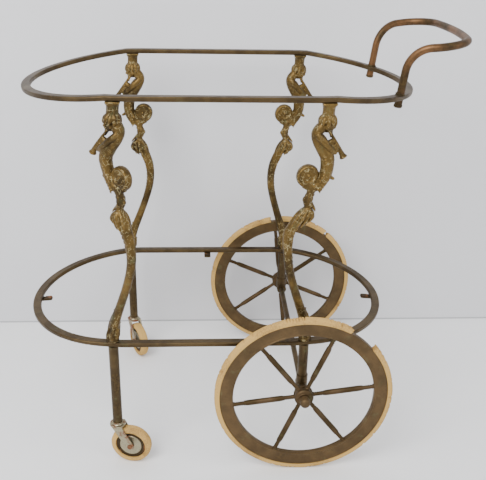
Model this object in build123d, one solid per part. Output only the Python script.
"""Antique brass serving trolley frame with figural legs, two large wheels and two casters.

Millimetres, +Z up, floor at Z 0.  X runs along the trolley from the caster end to the handle
end, and left is -Y, as seen by a person who pushes it from the handle end.
"""
from build123d import *
import math
import os

# ---------------------------------------------------------------- driving dimensions
# oval shelf rails: flat bar bent to a loop, with its two ends bent slightly down
LOOP_HALF_LENGTH = 349.0
LOOP_HALF_WIDTH = 204.0
RAIL_W = 16.0
RAIL_T = 8.5
RAIL_ROUND = 2.4
TOP_RAIL_Z = 699.0          # underside of the upper rail
LOW_RAIL_Z = 254.0          # underside of the lower rail
TOP_DROOP = 6.7             # degrees that the ends of the upper rail hang down
LOW_DROOP = 3.8
KINK_BEYOND_LEG = 11.0      # from a leg's axis to the bend in the rail

# legs
LEG_X = 172.0               # leg axes at the lower rail, from the middle of the trolley
LEAN = 19.0                 # how far the upper rail stands towards the handle end
FRONT_LEFT_TURN = 35.0      # degrees that the front left casting is turned about its leg
TUBE_R = 9.0
TUBE_WALL = 1.7
CAPITAL_SIDE = 24.0
CAPITAL_T = 4.5

# cast figure: points are (inward from the leg's axis, drop below the upper rail), each with a radius
FIGURE_HEIGHT = 178.0
NECK_AND_HEAD = [((2, 2), 8.6), ((2, 15), 8.2), ((1, 25), 9.5), ((1, 34), 9.5), ((3, 44), 8.0)]
TORSO = [((5, 38), 7.5), ((12, 52), 9.5), ((7, 68), 11.5), ((-6, 88), 11.0), ((-10, 104), 10.2),
         ((-8, 121), 10.0), ((1, 138), 10.0), ((12, 150), 8.5)]
HORN = [((-4, 44), 2.0), ((-13, 58), 2.2), ((-24, 73), 3.2), ((-32, 85), 6.0)]
ARM = [((8, 56), 6.5), ((-6, 65), 6.5), ((-20, 69), 5.0)]
SCROLL_CENTRE = (16.0, 128.0)
SCROLL_R = 21.5
SCROLL_WIDTH = 17.0
NECK = [((11, 143), 7.0), ((14, 155), 7.0), ((17, 165), 8.0), ((15, FIGURE_HEIGHT), 7.0)]

# cast stem: points are (inward from the leg's axis, share of the height), each with a radius
LEAF_BULB = ((17, 0.931), 12.5)
STEM = [((15, 1.0), 7.0), ((20, 0.939), 9.5), ((31, 0.854), 9.3), ((41, 0.721), 8.6), ((40, 0.575), 8.0),
        ((30, 0.413), 7.8), ((16, 0.251), 8.0), ((5, 0.113), 8.5), ((0, 0.0), 9.0)]
FOOT_COLLAR_R = 10.5
FOOT_COLLAR_T = 7.0
FOOT_STEP = 1.0             # how far the stem's foot stands inside and sinks into its collar
FOOT_TAPER = 4.5            # from the collar's top to the end of the foot's taper

# studs and screws of the frame
STUD_NECK_R = 4.0
STUD_PLUG_LENGTH = 18.0
STUD_IN_STEM = 6.0
CAPITAL_SCREW_R = 2.5
CAPITAL_SCREW_HEAD_R = 4.8
CAPITAL_SCREW_LENGTH = 16.0
STEM_SCREW_R = 3.1
STEM_SCREW_ROUND = 1.9

# handle: a bent tube whose feet pass through the rear bow
HANDLE_R = 6.7
HANDLE_WALL = 1.2
HANDLE_FOOT_Y = 117.0
HANDLE_RISE = 76.0          # straight run above the rail, square to the drooping bow
HANDLE_REACH = 101.0        # from the foot to the corners of the grip
HANDLE_TOP_RISE = 11.0      # the outward run climbs this much
HANDLE_HALF_WIDTH = 152.0
HANDLE_BOW = 26.0
HANDLE_BEND_R = 46.0
HANDLE_CORNER_R = 54.0
HANDLE_BOW_R = 500.0
HANDLE_BELOW = 9.0          # tube left below the rail
COLLAR_R = HANDLE_R + 1.8
COLLAR_T = 2.2
PLUG_R = HANDLE_R + 0.7
PLUG_T = 5.0
PLUG_ROUND = 3.0

# shelf support tabs on the lower rail
TAB_W = 14.0
TAB_REACH = 18.0
TAB_T = 2.5
TAB_UNDER = 9.0             # how far a tab runs under the rail
TAB_CORNER_R = 4.2
TAB_PAD_LENGTH = 12.6
TAB_PAD_W = 11.2
TAB_PAD_T = 1.6
TAB_PAD_REACH = 9.9         # from the rail's inner edge to the pad's middle
LEFT_TAB_X = 120.0
RIGHT_TAB_X = 0.0
TAB_SCREW_R = 3.2

# large wheels
WHEEL_R = 163.3
TYRE_T = 9.3
TYRE_W = 14.0
TYRE_ROUND = 4.2
RIM_DEPTH = 24.6
RIM_W = 11.0
SPOKES = 6
SPOKE_R = 4.3
SPOKE_END_R = 3.4
SPOKE_TAPER = 0.22          # share of a spoke's length over which each end swells
SPOKE_SET = 4.0             # depth of a spoke's end in the rim and in the hub
LEFT_SPOKE_TURN = 8.0       # degrees, where the spokes stand at rest
RIGHT_SPOKE_TURN = 36.5
HUB_R = 17.5
HUB_LENGTH = 25.0
HUB_ROUND = 3.0
BUSH_WALL = 2.6
AXLE_R = 5.5
CAP_NUT_R = 9.5
CAP_NUT_LENGTH = 17.0
CAP_NUT_ROUND = 4.3
NUT_THREAD_DEPTH = 12.0
THRUST_COLLAR_R = 9.5
THRUST_COLLAR_LENGTH = 8.0
TEE_R = 10.5
TEE_LENGTH = 26.0
TEE_SOCKET_TOP = 24.0       # above the axle
TEE_SOCKET_DEPTH = 9.0

# casters
CASTER_R = 38.4
CASTER_CORE_R = 28.6
CASTER_DISC_R = 21.0
CASTER_W = 17.0
CASTER_TYRE_ROUND = 5.0
CASTER_CORE_INSET = 3.0     # how far the core's faces lie inside the tyre's
CASTER_DISC_T = 1.5
TRAIL = 25.0                # from the swivel's axis to the caster's axle
LEFT_CASTER_TURN = -12.0    # degrees, where each caster trails at rest
RIGHT_CASTER_TURN = -62.0
FORK_T = 2.5
FORK_GAP = 1.6              # between a tyre's side and the fork
FORK_OVER_TYRE = 3.2
FORK_ARM_R = 7.5
FORK_ARM_RAKE = 25.0        # degrees that the arms lean back towards the axle
FORK_SHOULDER = 2.0         # how much wider than its eye an arm is on each side at the top
FORK_PLATE_R = 15.0
PIN_R = 3.5
PIN_LENGTH = 42.0
CASTER_AXLE_R = 3.0
RIVET_HEAD_R = 4.6
RIVET_HEAD_T = 1.4
RACE_T = 2.2
RACE_TAPER = 2.0
SOCKET_FLANGE_R = 10.0
SOCKET_FLANGE_T = 2.4

# clearances
RUNNING_FIT = 0.05          # radial, for what turns
SNUG_FIT = 0.03             # radial, for what is pressed, screwed or soldered in
END_PLAY = 0.35             # along an axis, between a turning and a fixed face

# ---------------------------------------------------------------- places that follow
LOOP_STRAIGHT = LOOP_HALF_LENGTH - LOOP_HALF_WIDTH
LOOP_LINE_R = LOOP_HALF_WIDTH - RAIL_W / 2
LEG_Y = math.sqrt(LOOP_LINE_R ** 2 - max(LEG_X - LOOP_STRAIGHT, 0) ** 2)
KINK_X = LEG_X + KINK_BEYOND_LEG
LOW_RAIL_TOP = LOW_RAIL_Z + RAIL_T
STEM_LOW_Z = LOW_RAIL_TOP + FOOT_COLLAR_T + FOOT_TAPER
STEM_HEIGHT = TOP_RAIL_Z - FIGURE_HEIGHT - STEM_LOW_Z
TUBE_BORE_R = TUBE_R - TUBE_WALL
TEE_FACE_Y = LEG_Y + TEE_LENGTH / 2
HUB_BACK_Y = TEE_FACE_Y + THRUST_COLLAR_LENGTH + END_PLAY
WHEEL_Y = HUB_BACK_Y + HUB_LENGTH / 2
NUT_Y = HUB_BACK_Y + HUB_LENGTH + END_PLAY
AXLE_HALF = NUT_Y + NUT_THREAD_DEPTH
RIM_OUTER_R = WHEEL_R - TYRE_T
RIM_INNER_R = RIM_OUTER_R - RIM_DEPTH
FORK_TOP_Z = 2 * CASTER_R + FORK_OVER_TYRE + FORK_T
SOCKET_Z = FORK_TOP_Z + RACE_T + END_PLAY
FRONT_TUBE_Z = SOCKET_Z + SOCKET_FLANGE_T
FAR = 2 * (LOOP_HALF_LENGTH + LOOP_HALF_WIDTH)
LEGS = {"front_left": (-1, -1), "front_right": (-1, 1), "rear_left": (1, -1), "rear_right": (1, 1)}
SIDES = {"left": -1, "right": 1}
ABOUT_Y = Rot(90, 0, 0)     # lays a Z cylinder along Y
STANDING = (Align.CENTER, Align.CENTER, Align.MIN)
HANGING = (Align.CENTER, Align.CENTER, Align.MAX)

parts = {}


# ---------------------------------------------------------------- shelf rails
def flat_loop(z, middle_x):
    """The whole rail before its ends are bent: an oval ring of flat bar with rounded edges."""
    outer = SlotCenterToCenter(2 * LOOP_STRAIGHT, 2 * LOOP_HALF_WIDTH)
    inner = SlotCenterToCenter(2 * LOOP_STRAIGHT, 2 * (LOOP_HALF_WIDTH - RAIL_W))
    ring = extrude(outer - inner, RAIL_T)
    ring = fillet(ring.edges().filter_by(GeomType.LINE, reverse=True)
                  + ring.edges().filter_by(Axis.X), RAIL_ROUND)
    return Pos(middle_x, 0, z) * ring


def beyond_kink(middle_x, z, tilt, end):
    """Everything past the bend at one end, cut on a plane tilted by tilt degrees."""
    half_space = Box(FAR, FAR, FAR, align=(Align.MIN, Align.CENTER, Align.CENTER))
    return (Pos(middle_x + end * KINK_X, 0, z + RAIL_T / 2)
            * Rot(0, end * tilt, 0) * Rot(0, 0, 0 if end > 0 else 180) * half_space)


def bend(middle_x, z, droop, end):
    """Where the bar turns down at one end: a turn about the kink."""
    there = Pos(middle_x + end * KINK_X, 0, z + RAIL_T / 2)
    return there * Rot(0, end * droop, 0) * there.inverse()


def rail(name, z, droop, middle_x):
    loop = flat_loop(z, middle_x)
    sides = loop
    for end_name, end in (("front", -1), ("rear", 1)):
        mitre = beyond_kink(middle_x, z, droop / 2, end)
        roomy = beyond_kink(middle_x - end * RAIL_T, z, 0, end)
        bow = (bend(middle_x, z, droop, end) * (loop & roomy)) & mitre
        parts[f"{name}_{end_name}_bow"] = bow
        sides = sides - mitre
    for side_name, bar in zip(SIDES, sides.solids().sort_by(Axis.Y)):
        parts[f"{name}_{side_name}_bar"] = bar


rail("top_rail", TOP_RAIL_Z, TOP_DROOP, LEAN)
rail("lower_rail", LOW_RAIL_Z, LOW_DROOP, 0)


# ---------------------------------------------------------------- leg castings
def axis_x(end, z):
    """X of a leg's leaning axis at a height: upright below the lower rail."""
    return end * LEG_X + LEAN * max(z - LOW_RAIL_TOP, 0) / (TOP_RAIL_Z - LOW_RAIL_TOP)


def leg_turn(name):
    return FRONT_LEFT_TURN if name == "front_left" else 0.0


def inward(name):
    """The direction in plan from a leg's axis towards the middle of the trolley."""
    end, side = LEGS[name]
    turn = math.radians(leg_turn(name))
    return Vector(-end * math.cos(turn), side * math.sin(turn), 0)


def leg_point(name, reach, z):
    end, side = LEGS[name]
    return Vector(axis_x(end, z), side * LEG_Y, z) + inward(name) * reach


def figure_point(name, place):
    """A place on the figure, given as (inward, drop below the upper rail)."""
    reach, drop = place
    return leg_point(name, reach, TOP_RAIL_Z - drop)


def stem_point(name, place):
    """A place on the stem, given as (inward, share of the bent length's height)."""
    reach, share = place
    return leg_point(name, reach, STEM_LOW_Z + share * STEM_HEIGHT)


def limb(name, stations, level=()):
    """A round-section limb of a casting, lofted through stations of (point, radius).

    The stations listed in level keep their rings horizontal.
    """
    sideways = inward(name).cross(Vector(0, 0, 1))
    points = [point for point, radius in stations]
    rings = []
    for i, (point, radius) in enumerate(stations):
        along = points[min(i + 1, len(points) - 1)] - points[max(i - 1, 0)]
        if i in level:
            along = Vector(0, 0, along.Z)
        rings.append(Plane(origin=point, x_dir=sideways, z_dir=along) * Circle(radius))
    return loft(rings)


def ball(centre, radius):
    return Pos(*centre) * Sphere(radius)


def on_figure(name, stations):
    return [(figure_point(name, place), radius) for place, radius in stations]


def on_stem(name, stations):
    return [(stem_point(name, place), radius) for place, radius in stations]


def capital_place(name):
    """Where the casting's top meets the underside of the upper rail."""
    return figure_point(name, (NECK_AND_HEAD[0][0][0], 0))


def figure(name):
    """Capital, head, torso, arm, horn, scrolled tail and neck, as one casting."""
    angle = math.degrees(math.atan2(inward(name).Y, inward(name).X))
    capital = Pos(*capital_place(name)) * Box(CAPITAL_SIDE, CAPITAL_SIDE, CAPITAL_T, align=HANGING)
    scroll = (Pos(*figure_point(name, SCROLL_CENTRE)) * Rot(0, 0, angle) * ABOUT_Y
              * Cylinder(SCROLL_R, SCROLL_WIDTH))
    casting = capital + limb(name, on_figure(name, NECK_AND_HEAD), level=(0,)) + scroll
    casting = casting + limb(name, on_figure(name, TORSO))
    casting = casting + limb(name, on_figure(name, NECK), level=(len(NECK) - 1,))
    arm = on_figure(name, ARM)
    return casting + limb(name, arm) + ball(*arm[-1]) + limb(name, on_figure(name, HORN))


def stem(name):
    """Bent stem with a leaf bulb at its top and a collar that stands on the lower rail."""
    end, side = LEGS[name]
    collar = Pos(end * LEG_X, side * LEG_Y, LOW_RAIL_TOP) * Cylinder(FOOT_COLLAR_R, FOOT_COLLAR_T,
                                                                     align=STANDING)
    stations = on_stem(name, STEM)
    sunk = leg_point(name, 0, LOW_RAIL_TOP + FOOT_COLLAR_T - FOOT_STEP)
    foot = limb(name, [(sunk, FOOT_COLLAR_R - FOOT_STEP), stations[-1]], level=(0, 1))
    bulb = ball(*on_stem(name, [LEAF_BULB])[0])
    return collar + foot + limb(name, stations, level=(0, len(stations) - 1)) + bulb


def stud(name):
    """Stepped stud: its plug fills the tube's top and its neck screws up into the stem."""
    end, side = LEGS[name]
    plug = Cylinder(TUBE_BORE_R - SNUG_FIT, STUD_PLUG_LENGTH, align=HANGING)
    neck = Cylinder(STUD_NECK_R - SNUG_FIT, RAIL_T + STUD_IN_STEM, align=STANDING)
    return Pos(end * LEG_X, side * LEG_Y, LOW_RAIL_Z) * (plug + neck)


def stud_hole(name):
    end, side = LEGS[name]
    hole = Cylinder(STUD_NECK_R, RAIL_T + STUD_IN_STEM + END_PLAY, align=STANDING)
    return Pos(end * LEG_X, side * LEG_Y, LOW_RAIL_Z) * hole


def capital_screw(name, gap):
    """Countersunk screw from the rail's top face down into the capital."""
    shank = Cylinder(CAPITAL_SCREW_R - gap, CAPITAL_SCREW_LENGTH - gap, align=HANGING)
    head_t = CAPITAL_SCREW_HEAD_R - CAPITAL_SCREW_R
    head = Cone(CAPITAL_SCREW_R - gap, CAPITAL_SCREW_HEAD_R - gap, head_t, align=HANGING)
    return Pos(*capital_place(name)) * Pos(0, 0, RAIL_T) * (shank + head)


def stem_screw(name):
    """Round-headed screw, half sunk in the outer side of the stem's collar."""
    end, side = LEGS[name]
    shank = Cylinder(STEM_SCREW_R, 2 * STEM_SCREW_R)
    head = fillet(shank.edges().group_by(Axis.Z)[-1], STEM_SCREW_ROUND)
    return (Pos(end * (LEG_X + FOOT_COLLAR_R - FOOT_STEP), side * LEG_Y, LOW_RAIL_TOP + FOOT_COLLAR_T / 2)
            * Rot(0, end * 90, 0) * head)


for leg_name, (leg_end, leg_side) in LEGS.items():
    side_name = "left" if leg_side < 0 else "right"
    parts[f"figure_{leg_name}"] = figure(leg_name) - capital_screw(leg_name, 0)
    parts[f"stem_{leg_name}"] = stem(leg_name) - stud_hole(leg_name) - stem_screw(leg_name)
    parts[f"top_rail_{side_name}_bar"] -= capital_screw(leg_name, 0)
    parts[f"lower_rail_{side_name}_bar"] -= stud_hole(leg_name)

parts["capital_screws"] = Compound([capital_screw(name, SNUG_FIT).solid() for name in LEGS])
parts["leg_studs"] = Compound([stud(name).solid() for name in LEGS])
parts["stem_screws"] = Compound([stem_screw(name).solid() for name in LEGS])


# ---------------------------------------------------------------- leg tubes, axle and tees
def tube(x, y, low, high):
    ring = Circle(TUBE_R) - Circle(TUBE_BORE_R)
    return Pos(x, y, low) * extrude(ring, high - low)


def across(length, radius):
    """A round bar along Y, centred."""
    return ABOUT_Y * Cylinder(radius, length)


def tee(side):
    """Cast tee that takes the rear leg's tube from above and the axle from the side."""
    place = Pos(LEG_X, side * LEG_Y, WHEEL_R)
    socket = Cylinder(TUBE_R + TUBE_WALL, TEE_SOCKET_TOP, align=STANDING)
    bore = Pos(0, 0, TEE_SOCKET_TOP - TEE_SOCKET_DEPTH) * Cylinder(
        TUBE_R + SNUG_FIT, TEE_SOCKET_DEPTH, align=STANDING)
    body = across(TEE_LENGTH, TEE_R) + socket - bore - across(FAR, AXLE_R + SNUG_FIT)
    return place * body


for side_name, side in SIDES.items():
    parts[f"front_{side_name}_tube"] = tube(-LEG_X, side * LEG_Y, FRONT_TUBE_Z, LOW_RAIL_Z)
    tube_low = WHEEL_R + TEE_SOCKET_TOP - TEE_SOCKET_DEPTH
    parts[f"rear_{side_name}_tube"] = tube(LEG_X, side * LEG_Y, tube_low, LOW_RAIL_Z)
    parts[f"axle_tee_{side_name}"] = tee(side)

parts["axle"] = Pos(LEG_X, 0, WHEEL_R) * across(2 * AXLE_HALF, AXLE_R)


def cap_nut(side):
    """Domed nut that closes the axle's end and keeps the wheel on."""
    shell = Cylinder(CAP_NUT_R, CAP_NUT_LENGTH, align=STANDING)
    shell = fillet(shell.edges().group_by(Axis.Z)[-1], CAP_NUT_ROUND)
    thread = Cylinder(AXLE_R + SNUG_FIT, NUT_THREAD_DEPTH + END_PLAY, align=STANDING)
    return Pos(LEG_X, side * NUT_Y, WHEEL_R) * Rot(-90 * side, 0, 0) * (shell - thread)


def thrust_collar(side):
    """Plain collar that keeps the hub clear of the tee."""
    ring = across(THRUST_COLLAR_LENGTH, THRUST_COLLAR_R) - across(FAR, AXLE_R + SNUG_FIT)
    return Pos(LEG_X, side * (TEE_FACE_Y + THRUST_COLLAR_LENGTH / 2), WHEEL_R) * ring


parts["axle_cap_nuts"] = Compound([cap_nut(side).solid() for side in SIDES.values()])
parts["axle_thrust_collars"] = Compound([thrust_collar(side).solid() for side in SIDES.values()])


# ---------------------------------------------------------------- large wheels
def wheel(side_name, side, turn):
    place = Pos(LEG_X, side * WHEEL_Y, WHEEL_R)
    bush_r = AXLE_R + RUNNING_FIT + BUSH_WALL
    inner = HUB_R - SPOKE_SET
    outer = RIM_INNER_R + SPOKE_SET
    taper = SPOKE_TAPER * (outer - inner)
    stations = [(inner, SPOKE_END_R), (inner + taper, SPOKE_R), (outer - taper, SPOKE_R),
                (outer, SPOKE_END_R)]
    spoke = loft([Plane(origin=(r, 0, 0), x_dir=(0, 1, 0), z_dir=(1, 0, 0)) * Circle(radius)
                  for r, radius in stations])
    spokes = [Rot(0, -turn - 360 * i / SPOKES, 0) * spoke for i in range(SPOKES)]
    rim = across(RIM_W, RIM_OUTER_R) - across(FAR, RIM_INNER_R)
    hub = fillet(across(HUB_LENGTH, HUB_R).edges(), HUB_ROUND) - across(FAR, bush_r + SNUG_FIT)
    for one in spokes:
        rim -= one
        hub -= one
    tyre = fillet(across(TYRE_W, WHEEL_R).edges(), TYRE_ROUND) - across(FAR, RIM_OUTER_R)
    bush = across(HUB_LENGTH, bush_r) - across(FAR, AXLE_R + RUNNING_FIT)
    parts[f"{side_name}_wheel_rim"] = place * rim
    parts[f"{side_name}_wheel_tyre"] = place * tyre
    parts[f"{side_name}_wheel_hub"] = place * hub
    parts[f"{side_name}_wheel_bush"] = place * bush
    parts[f"{side_name}_wheel_spokes"] = Compound([(place * one).solid() for one in spokes])


wheel("left", -1, LEFT_SPOKE_TURN)
wheel("right", 1, RIGHT_SPOKE_TURN)


# ---------------------------------------------------------------- casters
def caster_socket(side):
    """Flanged sleeve in the front tube's foot, which the caster's pin turns in."""
    sleeve = Cylinder(TUBE_BORE_R - SNUG_FIT, SOCKET_FLANGE_T + PIN_LENGTH, align=STANDING)
    flange = Cylinder(SOCKET_FLANGE_R, SOCKET_FLANGE_T, align=STANDING)
    return Pos(-LEG_X, side * LEG_Y, SOCKET_Z) * (sleeve + flange - Cylinder(PIN_R + RUNNING_FIT, FAR))


def fork():
    """Pressed fork, swivel axis at X 0, wheel axle at X = trail."""
    inside = CASTER_W / 2 + FORK_GAP
    axle_z = CASTER_R
    crown = (Pos(0, 0, FORK_TOP_Z - FORK_T)
             * extrude(Circle(FORK_PLATE_R) & Rectangle(FAR, 2 * (inside + FORK_T)), FORK_T))
    lean_out = FORK_ARM_R * math.cos(math.radians(FORK_ARM_RAKE))
    lift = FORK_ARM_R * math.sin(math.radians(FORK_ARM_RAKE))
    shoulder = FORK_ARM_R + FORK_SHOULDER
    outline = Polygon((-shoulder, FORK_TOP_Z), (TRAIL - lean_out, axle_z - lift),
                      (TRAIL + lean_out, axle_z + lift), (shoulder, FORK_TOP_Z), align=None)
    outline += Pos(TRAIL, axle_z) * Circle(FORK_ARM_R)
    arm = extrude(Plane.XZ * outline, FORK_T)
    both = Pos(0, -inside, 0) * arm + Pos(0, inside + FORK_T, 0) * arm
    return crown + both - Pos(TRAIL, 0, axle_z) * across(FAR, CASTER_AXLE_R + SNUG_FIT)


def caster(side_name, side, turn):
    place = Pos(-LEG_X, side * LEG_Y, 0) * Rot(0, 0, turn)
    hub_place = place * Pos(TRAIL, 0, CASTER_R)
    half_fork = CASTER_W / 2 + FORK_GAP + FORK_T
    bearing = across(FAR, CASTER_AXLE_R + RUNNING_FIT)
    race = Cone(SOCKET_FLANGE_R, SOCKET_FLANGE_R - RACE_TAPER, RACE_T, align=STANDING)
    pin = Pos(0, 0, FORK_TOP_Z) * (Cylinder(PIN_R, RACE_T + END_PLAY + PIN_LENGTH, align=STANDING) + race)
    rivet = across(2 * half_fork, CASTER_AXLE_R)
    for face in (-1, 1):
        rivet += Pos(0, face * (half_fork + RIVET_HEAD_T / 2), 0) * across(RIVET_HEAD_T, RIVET_HEAD_R)
    core_w = CASTER_W - 2 * CASTER_CORE_INSET
    core = across(core_w, CASTER_CORE_R) - bearing
    disc = across(CASTER_DISC_T, CASTER_DISC_R) - bearing
    discs = [Pos(0, face * (core_w + CASTER_DISC_T) / 2, 0) * disc for face in (-1, 1)]
    tyre = fillet(across(CASTER_W, CASTER_R).edges(), CASTER_TYRE_ROUND) - across(FAR, CASTER_CORE_R)
    name = f"{side_name}_caster"
    parts[f"{name}_socket"] = caster_socket(side)
    parts[f"{name}_pin"] = place * pin
    parts[f"{name}_fork"] = place * fork()
    parts[f"{name}_rivet"] = hub_place * rivet
    parts[f"{name}_core"] = hub_place * core
    parts[f"{name}_discs"] = Compound([(hub_place * one).solid() for one in discs])
    parts[f"{name}_tyre"] = hub_place * tyre


caster("left", -1, LEFT_CASTER_TURN)
caster("right", 1, RIGHT_CASTER_TURN)


# ---------------------------------------------------------------- handle
FOOT_X = LOOP_STRAIGHT + math.sqrt(LOOP_LINE_R ** 2 - HANDLE_FOOT_Y ** 2)
REAR_BEND = bend(LEAN, TOP_RAIL_Z, TOP_DROOP, 1)


def on_bow(side, up):
    """A place on the handle's foot: up is measured square to the drooping bow from its top."""
    flat = Pos(LEAN + FOOT_X, side * HANDLE_FOOT_Y, TOP_RAIL_Z + RAIL_T + up)
    return REAR_BEND * flat


def handle():
    foot = on_bow(1, -RAIL_T - HANDLE_BELOW).position
    bent = on_bow(1, HANDLE_RISE).position
    corner = Vector(bent.X + HANDLE_REACH - HANDLE_RISE * math.sin(math.radians(TOP_DROOP)),
                    HANDLE_HALF_WIDTH, bent.Z + HANDLE_TOP_RISE)
    middle = Vector(corner.X + HANDLE_BOW, 0, corner.Z)
    half = [foot, bent, corner]
    points = half + [middle] + [Vector(p.X, -p.Y, p.Z) for p in reversed(half)]
    bends = [HANDLE_BEND_R, HANDLE_CORNER_R, HANDLE_BOW_R, HANDLE_CORNER_R, HANDLE_BEND_R]
    path = FilletPolyline(*points, radius=bends)
    start = Plane(origin=path @ 0, z_dir=path % 0)
    return sweep(start * (Circle(HANDLE_R) - Circle(HANDLE_R - HANDLE_WALL)), path=path)


def handle_collar(side):
    ring = Circle(COLLAR_R) - Circle(HANDLE_R + SNUG_FIT)
    return on_bow(side, 0) * extrude(ring, COLLAR_T)


def handle_plug(side):
    cap = Cylinder(PLUG_R, PLUG_T, align=HANGING)
    cap = fillet(cap.edges().group_by(Axis.Z)[0], PLUG_ROUND)
    spigot = Cylinder(HANDLE_R - HANDLE_WALL - SNUG_FIT, HANDLE_BELOW, align=STANDING)
    return on_bow(side, -RAIL_T - HANDLE_BELOW) * (cap + spigot)


parts["handle"] = handle()
parts["handle_collars"] = Compound([handle_collar(side).solid() for side in SIDES.values()])
parts["handle_end_plugs"] = Compound([handle_plug(side).solid() for side in SIDES.values()])
for side in SIDES.values():
    foot_hole = Cylinder(HANDLE_R + SNUG_FIT, RAIL_T + 2 * HANDLE_BELOW)
    parts["top_rail_rear_bow"] -= on_bow(side, -RAIL_T / 2) * foot_hole


# ---------------------------------------------------------------- shelf tabs of the lower rail
def tab_places():
    """Where the tabs sit: X points inward from the rail's inner edge, Z 0 is the rail's underside."""
    inner = LOOP_HALF_WIDTH - RAIL_W
    ends = [bend(0, LOW_RAIL_Z, LOW_DROOP, end) * Pos(end * (LOOP_HALF_LENGTH - RAIL_W), 0, LOW_RAIL_Z)
            * Rot(0, 0, 180 if end > 0 else 0) for end in (-1, 1)]
    return ends + [Pos(LEFT_TAB_X, -inner, LOW_RAIL_Z) * Rot(0, 0, 90),
                   Pos(RIGHT_TAB_X, inner, LOW_RAIL_Z) * Rot(0, 0, -90)]


def tab():
    plate = Box(TAB_UNDER + TAB_REACH, TAB_W, TAB_T, align=(Align.MIN, Align.CENTER, Align.MAX))
    plate = fillet(plate.edges().filter_by(Axis.Z).group_by(Axis.X)[-1], TAB_CORNER_R)
    return Pos(-TAB_UNDER, 0, 0) * plate


def tab_pad():
    return Pos(TAB_PAD_REACH, 0, 0) * Box(TAB_PAD_LENGTH, TAB_PAD_W, TAB_PAD_T, align=STANDING)


def tab_screw():
    head = Sphere(TAB_SCREW_R) & Box(FAR, FAR, FAR, align=HANGING)
    return Pos(-TAB_UNDER / 2, 0, -TAB_T) * head


parts["shelf_tabs"] = Compound([(place * tab()).solid() for place in tab_places()])
parts["shelf_tab_pads"] = Compound([(place * tab_pad()).solid() for place in tab_places()])
parts["shelf_tab_screws"] = Compound([(place * tab_screw()).solid() for place in tab_places()])

# ---------------------------------------------------------------- origin and export
front_x = parts["lower_rail_front_bow"].bounding_box().min.X
rear_x = parts["handle"].bounding_box().max.X
MIDDLE_X = (front_x + rear_x) / 2

os.makedirs("parts", exist_ok=True)
for node, shape in parts.items():
    export_step(Pos(-MIDDLE_X, 0, 0) * shape, f"parts/{node}.step")

print("nodes", len(parts), "middle x", round(MIDDLE_X, 3))
print("leg y", round(LEG_Y, 3), "swivel x", round(-LEG_X - MIDDLE_X, 3))
print("axle x", round(LEG_X - MIDDLE_X, 3), "axle z", WHEEL_R)
for side_name, turn in (("left", LEFT_CASTER_TURN), ("right", RIGHT_CASTER_TURN)):
    x = -LEG_X - MIDDLE_X + TRAIL * math.cos(math.radians(turn))
    y = SIDES[side_name] * LEG_Y + TRAIL * math.sin(math.radians(turn))
    print(side_name, "caster wheel at", round(x, 3), round(y, 3), CASTER_R)
